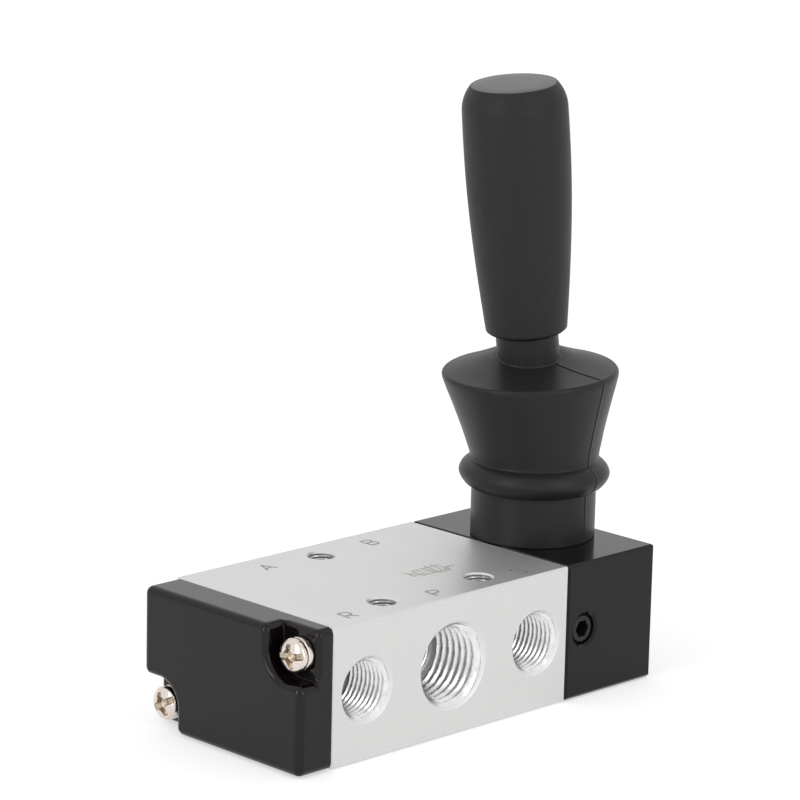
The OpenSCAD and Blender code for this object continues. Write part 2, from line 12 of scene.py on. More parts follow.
import bmesh
import bpy
import numpy as np
from bpy.props import FloatProperty, FloatVectorProperty, IntProperty, PointerProperty
from mathutils import Matrix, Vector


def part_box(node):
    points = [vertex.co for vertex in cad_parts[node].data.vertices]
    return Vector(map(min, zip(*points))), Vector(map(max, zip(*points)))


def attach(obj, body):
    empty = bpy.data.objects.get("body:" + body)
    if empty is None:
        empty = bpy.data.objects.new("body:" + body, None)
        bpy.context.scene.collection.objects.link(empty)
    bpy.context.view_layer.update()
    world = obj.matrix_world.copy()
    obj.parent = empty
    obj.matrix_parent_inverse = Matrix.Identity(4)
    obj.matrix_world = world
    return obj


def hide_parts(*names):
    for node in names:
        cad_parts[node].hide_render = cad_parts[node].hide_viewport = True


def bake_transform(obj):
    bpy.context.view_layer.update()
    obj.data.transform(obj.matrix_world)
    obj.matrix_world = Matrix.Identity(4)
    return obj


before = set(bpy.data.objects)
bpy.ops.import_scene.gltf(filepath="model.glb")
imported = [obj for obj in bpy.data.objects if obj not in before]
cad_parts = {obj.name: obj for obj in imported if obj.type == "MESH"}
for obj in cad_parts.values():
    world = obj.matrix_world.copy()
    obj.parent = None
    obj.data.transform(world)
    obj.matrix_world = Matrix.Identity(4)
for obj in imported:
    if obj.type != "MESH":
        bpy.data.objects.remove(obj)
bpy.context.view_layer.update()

bl_info = {
    "name": "Reversing valve dressing",
    "version": (1, 0, 0),
    "blender": (4, 5, 0),
    "location": "3D View > Sidebar > Valve",
    "description": "Threads, marks, boot, handle and finishes of a hand lever valve",
    "category": "Object",
}

MM = 0.001

# Where the lever turns, and how far it leans at rest
PIVOT = np.array([35.3, 0.0, 32.0]) * MM
LEAN = math.radians(6.6)

# Top of the body, the faces with the ports before and behind, and the spool axis
BODY_TOP = 22.0 * MM
PORT_FACE = 17.5 * MM
SPOOL_Z = 11.0 * MM

# In millimetres: places of the screws, to the back and up, and of the joint face of
# the end cap
SCREW_SPOTS = ((-14.05, 17.9), (14.05, 3.7))
CAP_JOINT_X = -25.25

# Pan head of the screws in millimetres: radius, straight side and dome above it
HEAD_R = 2.65
HEAD_SIDE = 0.65
DOME = 1.1


# Sizes and colours

def length(label, description, default):
    """Setting for a length in metres."""
    return FloatProperty(
        name=label, description=description, default=default, unit="LENGTH", precision=6
    )


def colour(label, description, default):
    """Setting for the colour of a finish."""
    return FloatVectorProperty(
        name=label, description=description, subtype="COLOR", default=default
    )


class ValveSizes(bpy.types.PropertyGroup):
    """Sizes of the pieces that are made here."""

    quarter_pitch: length(
        "Quarter inch pitch", "Thread pitch of the supply and outlet ports", 1.337 * MM
    )
    eighth_pitch: length("Eighth inch pitch", "Thread pitch of the exhaust ports", 0.907 * MM)
    seam_depth: length(
        "Seam depth", "Depth of the fine line that the mould leaves on the boot", 0.11 * MM
    )
    letter_height: length("Letter height", "Height of the etched port letters", 2.7 * MM)
    symbol_height: length(
        "Symbol height", "Height of the boxes of the etched circuit symbol", 2.8 * MM
    )
    letter_stroke: length("Letter stroke", "Width of the etched line", 0.3 * MM)
    sides: IntProperty(
        name="Sides", description="Sides of the ports and the grip", default=160, min=48, max=256
    )


class ValveColours(bpy.types.PropertyGroup):
    """Colours of the finishes."""

    aluminium: colour("Aluminium", "Blasted and clear anodised body", (0.695, 0.69, 0.685))
    black_anodised: colour("Black housing", "Lever housing", (0.0062, 0.0056, 0.0057))
    cap_plastic: colour("Cap", "End cap moulding", (0.005, 0.0026, 0.0032))
    grip_plastic: colour("Grip", "Handle moulding", (0.0205, 0.0194, 0.0198))
    rubber: colour("Boot", "Boot rubber", (0.0165, 0.0162, 0.0168))
    nickel: colour("Screws", "Nickel plated screws and washers", (0.72, 0.66, 0.61))


# Mesh work

def linked(name, mesh):
    """New object of a mesh, in the scene."""
    obj = bpy.data.objects.new(name, mesh)
    bpy.context.scene.collection.objects.link(obj)
    return obj


def finish_mesh(obj, sharp):
    """Merges doubles, turns the faces outwards and shades smooth up to an angle."""
    work = bmesh.new()
    work.from_mesh(obj.data)
    bmesh.ops.remove_doubles(work, verts=work.verts, dist=1e-7)
    bmesh.ops.dissolve_degenerate(work, edges=work.edges, dist=1e-8)
    bmesh.ops.recalc_face_normals(work, faces=work.faces)
    work.to_mesh(obj.data)
    work.free()
    obj.data.shade_smooth()
    obj.data.set_sharp_from_angle(angle=math.radians(sharp))
    return obj


def grid_piece(name, points, loop_rows, sharp=32.0):
    """Surface over a grid of points.

    Rows run along a profile and columns run round it. Each column joins the
    next and the last joins the first; the rows close in the same way where
    loop_rows is true. A row whose points coincide becomes a pole.
    """
    rows, cols = points.shape[:2]
    row = np.arange(rows if loop_rows else rows - 1)[:, None]
    col = np.arange(cols)[None, :]
    this, following = row * cols, (row + 1) % rows * cols
    after = (col + 1) % cols
    faces = np.stack([this + col, this + after, following + after, following + col], axis=-1)
    mesh = bpy.data.meshes.new(name)
    mesh.from_pydata(points.reshape(-1, 3).tolist(), [], faces.reshape(-1, 4).tolist())
    return finish_mesh(linked(name, mesh), sharp)


def copy_of(node, name):
    """Copy of a CAD node with its triangles merged, shaded smooth on round faces."""
    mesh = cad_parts[node].data.copy()
    mesh.name = name
    obj = linked(name, mesh)
    work = bmesh.new()
    work.from_mesh(mesh)
    bmesh.ops.remove_doubles(work, verts=work.verts, dist=2e-6)
    bmesh.ops.dissolve_degenerate(work, edges=work.edges, dist=1e-7)
    flat = math.radians(0.6)
    bmesh.ops.dissolve_limit(
        work, angle_limit=flat, verts=work.verts, edges=work.edges, delimit={"NORMAL"}
    )
    work.to_mesh(mesh)
    work.free()
    if "custom_normal" in mesh.attributes:
        mesh.attributes.remove(mesh.attributes["custom_normal"])
    mesh.shade_smooth()
    mesh.set_sharp_from_angle(angle=math.radians(32))
    return obj


def join_pieces(name, pieces, sharp=32.0):
    """One piece from several made ones, which are taken away."""
    work = bmesh.new()
    for one in pieces:
        work.from_mesh(one.data)
        bpy.data.objects.remove(one)
    mesh = bpy.data.meshes.new(name)
    work.to_mesh(mesh)
    work.free()
    mesh.set_sharp_from_angle(angle=math.radians(sharp))
    return linked(name, mesh)


def per_face(obj, what):
    """The centre or the normal of every face of an object, as rows."""
    values = np.empty(3 * len(obj.data.polygons))
    obj.data.polygons.foreach_get(what, values)
    return values.reshape(-1, 3)


def give_second(obj, chosen):
    """Lets the chosen faces of an object take its second finish."""
    obj.data.polygons.foreach_set("material_index", chosen.astype(np.int32))


def softened(obj, width):
    """Small rounded edge on every sharp corner."""
    bevel = obj.modifiers.new("edge", "BEVEL")
    bevel.width = width
    bevel.segments = 2
    bevel.limit_method = "ANGLE"
    bevel.angle_limit = math.radians(40)
    bevel.use_clamp_overlap = True
    bevel.harden_normals = True
    return obj


def smooth_step(share):
    """Smooth rise from 0 to 1, level at both ends."""
    return share * share * (3 - 2 * share)


def smooth_line(points, count):
    """Curve through the points: a cubic in each span, its slope at a point the
    one between that point's neighbours, sampled evenly in the span number."""
    p = np.asarray(points, float)
    ends = np.vstack([2 * p[0] - p[1], p, 2 * p[-1] - p[-2]])
    t = np.linspace(0, len(p) - 1 - 1e-9, count)
    k = t.astype(int)
    u = (t - k)[:, None]
    a, b, c, d = ends[k], ends[k + 1], ends[k + 2], ends[k + 3]
    return 0.5 * (
        2 * b + (c - a) * u + (2 * a - 5 * b + 4 * c - d) * u**2 + (3 * b - a - 3 * c + d) * u**3
    )


def arc(centre, radius, first, last, count):
    """Points of a circle about centre from one angle to another, in degrees."""
    t = np.radians(np.linspace(first, last, count))
    return np.column_stack([centre[0] + radius * np.cos(t), centre[1] + radius * np.sin(t)])


def around_lever(radius, along, angle):
    """Places points given by radius, distance from the pivot and angle about
    the lever's axis, which leans towards -X."""
    x = radius * np.cos(angle)
    y = radius * np.sin(angle)
    return np.stack([PIVOT[0] + x * math.cos(LEAN) - along * math.sin(LEAN), PIVOT[1] + y,
                     PIVOT[2] + x * math.sin(LEAN) + along * math.cos(LEAN)], axis=-1)


# Finishes

class Nodes:
    """Short way to add and join the nodes of one material."""

    def __init__(self, name):
        self.material = bpy.data.materials.new(name)
        self.material.use_nodes = True
        self.tree = self.material.node_tree
        self.tree.nodes.clear()
        self.shader = self.add("ShaderNodeBsdfPrincipled")
        output = self.add("ShaderNodeOutputMaterial")
        self.join(self.shader, "BSDF", output, "Surface")
        self.place = self.add("ShaderNodeTexCoord")

    def add(self, kind, **values):
        node = self.tree.nodes.new(kind)
        for key, value in values.items():
            setattr(node, key, value)
        return node

    def join(self, source, out, target, into):
        self.tree.links.new(source.outputs[out], target.inputs[into])

    def noise(self, size, detail=2.0, rough=0.5):
        """Noise whose features are about size metres across."""
        node = self.add("ShaderNodeTexNoise")
        node.inputs["Scale"].default_value = 1.0 / size
        node.inputs["Detail"].default_value = detail
        node.inputs["Roughness"].default_value = rough
        self.join(self.place, "Object", node, "Vector")
        return node

    def spread(self, node, low, high):
        """Maps the middle of a noise to the range from low to high."""
        ramp = self.add("ShaderNodeMapRange")
        ramp.inputs["From Min"].default_value = 0.3
        ramp.inputs["From Max"].default_value = 0.7
        ramp.inputs["To Min"].default_value = low
        ramp.inputs["To Max"].default_value = high
        self.join(node, "Fac", ramp, "Value")
        return ramp

    def tint(self, factor, shade, low, high):
        """Colour that runs from shade * low to shade * high with factor."""
        mix = self.add("ShaderNodeMix", data_type="RGBA")
        mix.inputs["A"].default_value = (*[min(c * low, 1) for c in shade], 1)
        mix.inputs["B"].default_value = (*[min(c * high, 1) for c in shade], 1)
        self.join(factor, 0, mix, "Factor")
        self.join(mix, "Result", self.shader, "Base Color")

    def rough(self, node, low, high):
        """Roughness that runs from low to high with a noise."""
        self.join(self.spread(node, low, high), "Result", self.shader, "Roughness")

    def bump(self, node, height, before=None):
        """Relief as high as height, on top of the one before."""
        bump = self.add("ShaderNodeBump")
        bump.inputs["Strength"].default_value = 1.0
        bump.inputs["Distance"].default_value = height
        self.join(node, "Fac", bump, "Height")
        if before:
            self.join(before, "Normal", bump, "Normal")
        self.join(bump, "Normal", self.shader, "Normal")
        return bump


def grained(name, shade, metallic, rough, grain, height, spread=0.1, specular=0.5, coarse=None):
    """Finish with a fine grain: noise of the grain's size tints the colour,
    varies the roughness and lifts the surface by height; an optional coarse
    noise (size, height) lies under it."""
    made = Nodes(name)
    fine = made.noise(grain, 3.0, 0.6)
    wide = made.noise(9 * MM, 2.0)
    made.tint(made.spread(fine, 0.0, 1.0), shade, 1 - spread, 1 + spread)
    made.rough(wide, rough - 0.03, rough + 0.03)
    before = made.bump(made.noise(coarse[0], 2.0), coarse[1]) if coarse else None
    made.bump(fine, height, before=before)
    made.shader.inputs["Metallic"].default_value = metallic
    made.shader.inputs["Specular IOR Level"].default_value = specular


def turned(name, shade, rough, pitch, height, axis, metallic=1.0):
    """Turned metal: fine rings square to an axis of the part, with a little
    noise in tint and roughness. The wave texture has its bands 0.314 / Scale
    apart."""
    made = Nodes(name)
    wave = made.add("ShaderNodeTexWave", wave_type="BANDS", bands_direction=axis)
    wave.inputs["Scale"].default_value = 0.314 / pitch
    wave.inputs["Distortion"].default_value = 0.4
    wave.inputs["Detail"].default_value = 1.0
    made.join(made.place, "Object", wave, "Vector")
    cloud = made.noise(1.2 * MM, 3.0)
    made.tint(made.spread(cloud, 0.0, 1.0), shade, 0.9, 1.06)
    made.rough(cloud, rough - 0.05, rough + 0.06)
    made.bump(wave, height)
    made.shader.inputs["Metallic"].default_value = metallic


def finishes():
    """Makes every finish once and returns them by name."""
    if "valve_aluminium" in bpy.data.materials:
        return {m.name: m for m in bpy.data.materials}
    c = bpy.context.scene.valve_colours
    grained("valve_aluminium", c.aluminium, 0.72, 0.43, 0.16 * MM, 0.004 * MM, 0.05,
            coarse=(0.5 * MM, 0.003 * MM))
    turned("valve_thread", (0.8, 0.8, 0.795), 0.24, 0.12 * MM, 0.0005 * MM, "Y")
    grained("valve_mouth", (0.82, 0.82, 0.815), 0.5, 0.45, 0.3 * MM, 0.0005 * MM, 0.02)
    turned("valve_drilled", (0.64, 0.64, 0.64), 0.3, 0.35 * MM, 0.012 * MM, "Z", 0.8)
    grained("valve_black_anodised", c.black_anodised, 0.0, 0.14, 0.12 * MM, 0.0015 * MM, 0.15, 0.22)
    grained("valve_cap_plastic", c.cap_plastic, 0.0, 0.14, 0.14 * MM, 0.0015 * MM, 0.15, 0.3)
    grained("valve_grip_plastic", c.grip_plastic, 0.0, 0.5, 0.2 * MM, 0.018 * MM, 0.25, 0.22)
    grained("valve_grip_end", c.grip_plastic, 0.0, 0.3, 0.3 * MM, 0.006 * MM, 0.25, 0.36)
    grained("valve_rubber", c.rubber, 0.0, 0.4, 0.12 * MM, 0.004 * MM, 0.15, 0.22,
            coarse=(2.2 * MM, 0.006 * MM))
    grained("valve_nickel", c.nickel, 1.0, 0.2, 0.3 * MM, 0.003 * MM, 0.1)
    grained("valve_black_oxide", (0.02, 0.018, 0.018), 0.3, 0.28, 0.12 * MM, 0.003 * MM, 0.2, 0.3)
    turned("valve_spool", (0.72, 0.72, 0.74), 0.22, 0.15 * MM, 0.001 * MM, "X")
    turned("valve_turret", (0.66, 0.66, 0.68), 0.3, 0.2 * MM, 0.002 * MM, "Z")
    grained("valve_steel", (0.56, 0.56, 0.57), 1.0, 0.22, 0.2 * MM, 0.002 * MM, 0.06)
    grained("valve_brass", (0.72, 0.52, 0.2), 1.0, 0.28, 0.2 * MM, 0.003 * MM, 0.08)
    grained("valve_seal", (0.012, 0.012, 0.012), 0.0, 0.35, 0.2 * MM, 0.003 * MM, 0.2)
    grained("valve_etched", (0.32, 0.305, 0.295), 0.6, 0.5, 0.08 * MM, 0.002 * MM, 0.25)
    grained("valve_etched_fine", (0.4, 0.385, 0.37), 0.6, 0.5, 0.08 * MM, 0.002 * MM, 0.25)
    # Darker brownish colour for the screw recesses: painted shade
    grained("valve_recess", (0.46, 0.385, 0.3), 1.0, 0.26, 0.5 * MM, 0.05 * MM, 0.45)
    return {m.name: m for m in bpy.data.materials}


def wear(obj, material, body):
    """Gives a made piece its finish and the body it rides on.
    Clearing an empty list would also clear which faces take a second finish."""
    if obj.data.materials:
        obj.data.materials.clear()
    obj.data.materials.append(finishes()[material])
    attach(obj, body)


def repaint(node, material):
    """Gives a CAD node that stays in the scene its finish."""
    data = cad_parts[node].data
    data.materials.clear()
    data.materials.append(finishes()[material])


# Threads and drilled holes

def ring_angles(count):
    """Angles of the columns of a round piece, as one row."""
    return np.linspace(0, 2 * math.pi, count, endpoint=False)[None, :]


def thread_sleeve(name, x, side, major, minor, pitch, depth, chamfer):
    """Inside of a threaded port as a closed sleeve in the port's wall.

    At depth d and angle a the radius is the minor radius plus the thread's
    height times a slightly rounded tooth of (d / pitch - a / one turn), but
    never less than the cone of the chamfered mouth. The outside of the sleeve
    is a plain cylinder within the wall. The mouth takes a second finish.
    """
    steps_per_turn, short, rounding = 18, 0.03 * MM, 0.15
    # Flat parts of the tooth at its root and its crest, as shares of the pitch
    root, crest = 0.07, 0.05
    rows = int(depth / pitch * steps_per_turn)
    d = np.linspace(short, depth - short, rows)[:, None]
    a = ring_angles(bpy.context.scene.valve_sizes.sides)
    phase = (d / pitch - a / (2 * math.pi)) % 1.0
    tooth = np.clip((np.abs(2 * phase - 1) - root) / (1 - root - crest), 0, 1)
    tooth = rounding * smooth_step(tooth) + (1 - rounding) * tooth
    inner = minor + (major - 0.02 * MM - minor) * (1 - tooth)
    inner = np.maximum(inner, major + chamfer - 0.045 * MM - d)
    outer = np.full_like(inner, major + 0.06 * MM)
    outer = np.maximum(outer, major + chamfer + 0.05 * MM - d)
    radius = np.vstack([inner, outer[::-1]])
    deep = np.vstack([d, d[::-1]]) * np.ones_like(a)
    points = np.stack(
        [x + radius * np.cos(a), side * (PORT_FACE - deep), SPOOL_Z + radius * np.sin(a)], axis=-1
    )
    sleeve = grid_piece(name, points, True, 50)
    middle = per_face(sleeve, "center") - (x, 0, SPOOL_Z)
    cone = np.hypot(middle[:, 0], middle[:, 2]) > major - 0.01 * MM
    mouth = cone & (PORT_FACE - np.abs(middle[:, 1]) < chamfer + 0.1 * MM)
    give_second(sleeve, mouth)
    return sleeve


def ringed_sleeve(name, x, y, radius, low, high):
    """Drilled hole with the fine rings that the drill leaves: the radius is the
    hole's own less a small wave along the depth."""
    step, ring, wave = 0.09 * MM, 0.55 * MM, 0.03 * MM
    z = np.linspace(low, high, int((high - low) / step))[:, None]
    a = ring_angles(96)
    inner = radius - 0.04 * MM + wave * np.sin(2 * math.pi * z / ring + a)
    outer = np.full_like(inner, radius + 0.05 * MM)
    r = np.vstack([inner, outer[::-1]])
    up = np.vstack([z, z[::-1]]) * np.ones_like(a)
    points = np.stack([x + r * np.cos(a), y + r * np.sin(a), up], axis=-1)
    return grid_piece(name, points, True, 50)


def port_floor(name, x, side, deep, inner, outer):
    """Bottom of a port with the rings that the drill leaves: a flat ring round
    the passage whose height is a small wave of the distance from the axis."""
    ring, height, below = 0.62 * MM, 0.06 * MM, 0.05 * MM
    r = np.linspace(inner, outer, 60)[:, None]
    a = ring_angles(96)
    wave = height * (1 + np.sin(2 * math.pi * r / ring))
    radius = np.vstack([r, r[::-1]]) * np.ones_like(a)
    depth = np.vstack([deep - 0.02 * MM - wave, np.full_like(r, deep + below)]) * np.ones_like(a)
    points = np.stack(
        [x + radius * np.cos(a), side * (PORT_FACE - depth), SPOOL_Z + radius * np.sin(a)], axis=-1
    )
    return grid_piece(name, points, True, 60)


# End cap and screws

def spring_washer(name, seat, away, inner, outer, wire, height):
    """Split spring washer, not pressed flat, round an axis along X.

    Its wire has a rounded square section and runs once round the axis, less
    the split, while it climbs evenly from the seat to the height of the
    washer. Each end is closed by the middle point of its section.
    """
    half_split, steps, corner, corner_steps = 7, 140, 0.16 * MM, 5
    turn = np.radians(np.linspace(half_split, 360 - half_split, steps))[:, None]
    rise = np.linspace(wire / 2, height - wire / 2, steps)[:, None]
    half = np.array([(outer - inner) / 2 - corner, wire / 2 - corner])
    quarters = [np.linspace(k, k + 90, corner_steps) for k in (0, 90, 180, 270)]
    t = np.radians(np.concatenate(quarters))
    middles = np.repeat(np.array([[1, 1], [-1, 1], [-1, -1], [1, -1]]), corner_steps, axis=0)
    section = middles * half + np.column_stack([np.cos(t), np.sin(t)]) * corner
    radius = (inner + outer) / 2 + section[:, 0][None, :]
    points = np.stack([seat[0] + away * (rise + section[:, 1][None, :]),
                       seat[1] + radius * np.cos(turn), seat[2] + radius * np.sin(turn)], axis=-1)
    middle = points.mean(axis=1, keepdims=True).repeat(len(t), axis=1)
    return grid_piece(name, np.concatenate([middle[:1], points, middle[-1:]]), False, 45)


def washer_pair(name, node, away):
    """Both spring washers of a node, joined into one piece and seated where the
    node's own washers are."""
    low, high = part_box(node)
    seat = high[0] if away < 0 else low[0]
    inner, outer, wire = 1.62 * MM, 2.62 * MM, 1.02 * MM
    height = high[0] - low[0]
    washers = (spring_washer(name, (seat, y * MM, z * MM), away, inner, outer, wire, height)
               for y, z in SCREW_SPOTS)
    pair = join_pieces(name, washers, 45)
    wear(pair, "valve_nickel", "valve")
    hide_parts(node)


def rounded_outline(corners, count):
    """Outline through corners given as (y, z, radius), all at right angles, as a
    list of its corners and straight runs in turn.

    Each holds rows of a point and its outward direction. Corners that turn
    left are outside corners and the others are inside corners; count is the
    steps of each quarter turn.
    """
    corners = np.array(corners, float)
    spots, radii = corners[:, :2], corners[:, 2]
    before = spots - np.roll(spots, 1, axis=0)
    before /= np.linalg.norm(before, axis=1)[:, None]
    after = np.roll(before, -1, axis=0)
    turns = []
    for spot, r, a, b, steps in zip(spots, radii, before, after, count):
        t = np.linspace(0, math.pi / 2, steps)[:, None]
        way = a * np.sin(t) - b * np.cos(t)
        left = np.sign(a[0] * b[1] - a[1] * b[0])
        turns.append(np.hstack([spot - a * r + b * r + way * r, left * way]))
    outline = []
    for this, following in zip(turns, turns[1:] + turns[:1]):
        gap = np.linalg.norm(following[0, :2] - this[-1, :2])
        # A row 0.04 mm from each end keeps the shading of the run flat
        near = min(0.04 / gap, 0.2)
        t = np.concatenate([[near], np.linspace(0.08, 0.92, 6), [1 - near]])[:, None]
        run = this[-1] + (following[0] - this[-1]) * t
        run[:, 2:] = this[-1, 2:]
        outline += [this, run]
    return outline


def shares(run):
    """How far along a run of an outline each of its points lies, from 0 to 1."""
    step = np.linalg.norm(np.diff(run[:, :2], axis=0), axis=1)
    far = np.concatenate([[0], np.cumsum(step)])
    return far / far[-1]


def past_recess(recess, corner):
    """Run of the flange's outline past a recess, round a corner of the flange,
    with its points at the same shares of its length as those of the recess."""
    recess = np.vstack(recess)
    run = np.vstack([recess[:1], corner, recess[-1:]])
    return np.column_stack([np.interp(shares(recess), shares(run), run[:, k]) for k in range(4)])


def cap_surface():
    """End cap as rows of points round the spool axis, from the bottom of its
    pocket out over the joint face, up its side and in over the outer face.

    The raised block leaves two corners of the flange free for the screws. Its
    edge follows a quarter circle, whose radius is smaller round the recesses.
    In the recesses the flange's own edge is rounded and a small fillet lies at
    the foot of the wall; both fade out where the recess ends.
    """
    half, low, high, middle = 17.45, 0.05, 21.95, np.array([0, 11])
    # Wall of the recesses: how far out and up it stands, and its inside radius
    side, up, recess_r = 9.9, 8.1, 4.2
    thick, flange, edge, flange_r, fillet = 6.55, 2.9, 1.2, 0.87, 0.18
    block = rounded_outline(
        [(-half, low, edge), (side, low, edge), (side, up, recess_r), (half, up, edge),
         (half, high, edge), (-side, high, edge), (-side, low + high - up, recess_r),
         (-half, low + high - up, edge)], [12, 12, 40, 12, 12, 12, 40, 12])
    plate = rounded_outline([(-half, low, edge), (half, low, edge), (half, high, edge),
                             (-half, high, edge)], [24] * 4)
    rim = np.vstack(block)
    base = np.vstack([*block[:2], past_recess(block[2:7], plate[2]), *block[7:10],
                      past_recess(block[10:15], plate[6]), block[15]])
    # How far the flange stands out past the block: nothing outside the recesses
    gap = np.linalg.norm(rim[:, :2] - base[:, :2], axis=1)
    fade = np.clip(gap / 1.3, 0, 1)
    round_r = edge - 0.06 - 0.2 * np.clip(gap / 1.2, 0, 1)
    turn = np.arctan2(base[:, 1] - middle[1], base[:, 0])
    ring = np.column_stack([np.cos(turn), np.sin(turn)])
    rows = []

    def row(points, deep):
        """Adds a row of points at a depth below the joint face."""
        deep = np.broadcast_to(deep, len(points))
        rows.append(np.column_stack([CAP_JOINT_X - deep, points]))

    def inward(outline, by):
        """Points of an outline moved inwards."""
        return outline[:, :2] - outline[:, 2:] * np.broadcast_to(by, len(outline))[:, None]

    def rounded(outline, r, level, steps):
        """Adds a quarter circle from the side up to a level."""
        for t in np.linspace(0, math.pi / 2, steps):
            row(inward(outline, r * (1 - math.cos(t))), level - r * (1 - math.sin(t)))

    # Pocket, joint face and seal groove, as (radius, depth) with softened edges
    pocket_r, pocket, groove_in, groove_out, groove, soft = 6.3, 4.9, 7.7, 8.9, 1.2, 0.04
    for r, deep in ((0, pocket), (pocket_r - soft, pocket), (pocket_r, pocket - soft),
                    (pocket_r, soft), (pocket_r + soft, 0), (groove_in - soft, 0),
                    (groove_in, soft), (groove_in, groove - soft), (groove_in + soft, groove),
                    (groove_out - soft, groove), (groove_out, groove - soft),
                    (groove_out, soft), (groove_out + soft, 0)):
        row(ring * r + middle, deep)
    # Edge of the joint face, as (inward, deep)
    for by, deep in ((0.16, 0.0), (0.12, 0.0), (0.035, 0.035), (0.0, 0.12), (0.0, 0.16)):
        row(inward(base, by), deep)
    row(inward(base, 0.0), flange - flange_r * fade - 0.03)
    rounded(base, flange_r * fade, flange, 8)
    row(inward(base, (flange_r + 0.03) * fade), flange)
    row(inward(rim, -(fillet + soft) * fade), flange)
    for t in np.linspace(0, math.pi / 2, 5):
        row(inward(rim, -fillet * fade * (1 - math.sin(t))),
            flange + fillet * fade * (1 - math.cos(t)))
    row(inward(rim, 0.0), flange + fillet + soft)
    row(inward(rim, 0.0), thick - round_r - soft)
    rounded(rim, round_r, thick, 12)
    for share in (1.0, 0.95, 0.6, 0.0):
        row(inward(rim, round_r + soft) * share + middle * (1 - share), thick)
    return np.array(rows) * MM


def screw_surface(head_x, tip_x, y, z, turn):
    """Pan head screw along X as rows of points from the tip to the middle of
    the head.

    The head's height over its rim is an ellipse of the distance r from the
    axis. A slot through the rim, a cross whose arms get shallower outwards and
    a pit in the middle are taken off it; each side of a recess follows a
    smooth step.
    """
    away = 1 if head_x > tip_x else -1
    seat = abs(head_x - tip_x) / MM - DOME - HEAD_SIDE
    shank = 1.5
    stem = np.array([[0, 0], [0, shank - 0.3], [0.3, shank], [seat - 0.02, shank],
                     [seat, shank + 0.02], [seat, HEAD_R - 0.2], [seat + 0.1, HEAD_R - 0.05],
                     [seat + 0.25, HEAD_R], [seat + 0.45, HEAD_R]])
    t = np.linspace(0, math.pi / 2, 56)
    dome = np.column_stack([seat + HEAD_SIDE + DOME * np.sin(t), HEAD_R * np.cos(t)])
    rows = np.vstack([stem, dome])
    angle = ring_angles(240)
    r = rows[:, 1][:, None]
    along, across = np.abs(r * np.cos(angle - turn)), np.abs(r * np.sin(angle - turn))

    def inside(distance, half):
        """1 within a half width, 0 outside, with a smooth step 0.2 mm wide."""
        return smooth_step(np.clip((half + 0.1 - distance) / 0.2, 0, 1))

    up = rows[:, 0][:, None] * np.ones_like(angle)
    over = np.maximum(up - (seat + HEAD_SIDE), 0)
    slot_half, slot_deep, arm_reach, arm_deep, pit_r, pit_deep = 0.46, 0.85, 1.8, 1.05, 1.05, 1.35
    slot = inside(across, slot_half) * np.maximum(over - (DOME - slot_deep), 0)
    arm = inside(along, slot_half) * inside(across, arm_reach)
    arm = arm * np.maximum(over - (DOME - arm_deep + 0.45 * across / 1.7), 0)
    pit = inside(r, pit_r) * np.maximum(over - (DOME - pit_deep + 0.4 * r), 0)
    deep = np.maximum(np.maximum(slot, arm), pit)
    deep[:len(stem)] = 0
    return MM * np.stack([tip_x / MM + away * (up - deep), y + r * np.cos(angle),
                          z + r * np.sin(angle)], axis=-1)


def screw(name, head_x, tip_x, y, z, turn):
    """One screw. Its recess takes a second finish, a darker brownish colour that is painted shade:
    the faces that lie deeper below the top of the head than its dome does."""
    made = grid_piece(name, screw_surface(head_x, tip_x, y, z, turn), False, 35)
    spot = per_face(made, "center") / MM
    r = np.hypot(spot[:, 1] - y, spot[:, 2] - z)
    deep = np.abs(spot[:, 0] - head_x / MM)
    dome = DOME * (1 - np.sqrt(np.clip(1 - (r / HEAD_R) ** 2, 0, 1)))
    # These recess faces take the painted shade
    give_second(made, (deep > dome + 0.07) & (deep < 1.4) & (r < HEAD_R - 0.05))
    return made


def screw_pair(node, name):
    """Both screws of a node in one piece, with the shade in their recesses
    painted in as a darker brownish second finish."""
    low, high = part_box(node)
    head_x, tip_x = (low[0], high[0]) if high[0] < 0 else (high[0], low[0])
    turns = (-0.16, -0.5)
    screws = (screw(name, head_x, tip_x, y, z, turn)
              for (y, z), turn in zip(SCREW_SPOTS, turns))
    pair = join_pieces(name, screws, 35)
    wear(pair, "valve_nickel", "valve")
    # Second finish: painted shade in the recesses
    pair.data.materials.append(finishes()["valve_recess"])
    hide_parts(node)


# Etched marks

def ribbon(path, width, low, high):
    """Flat stroke along a path in the plane: each point moved half the width
    to both sides of the path's direction, as a thin closed slab."""
    p = np.asarray(path, float)
    along = np.gradient(p, axis=0)
    along /= np.linalg.norm(along, axis=1)[:, None]
    across = np.column_stack([-along[:, 1], along[:, 0]]) * width / 2
    left, right = p + across, p - across
    corners = [(left, low), (right, low), (right, high), (left, high)]
    ring = np.stack([np.column_stack([q, np.full(len(q), z)]) for q, z in corners], axis=1)
    middle = ring.mean(axis=1, keepdims=True).repeat(4, axis=1)
    return np.concatenate([middle[:1], ring, middle[-1:]])


def line(*points):
    """Straight runs through the points, cut into short steps."""
    points = np.array(points, float)
    t = np.linspace(0, len(points) - 1, 8 * (len(points) - 1) + 1)
    n = np.arange(len(points))
    return np.column_stack([np.interp(t, n, points[:, 0]), np.interp(t, n, points[:, 1])])


def bow(low, high, reach):
    """Half round of a letter between two heights, out to reach."""
    t = np.linspace(-math.pi / 2, math.pi / 2, 16)
    mid, half = (low + high) / 2, (high - low) / 2
    curve = np.column_stack([reach - half + half * np.cos(t), mid + half * np.sin(t)])
    return np.vstack([line((0, low), curve[0]), curve[1:-1], line(curve[-1], (0, high))])


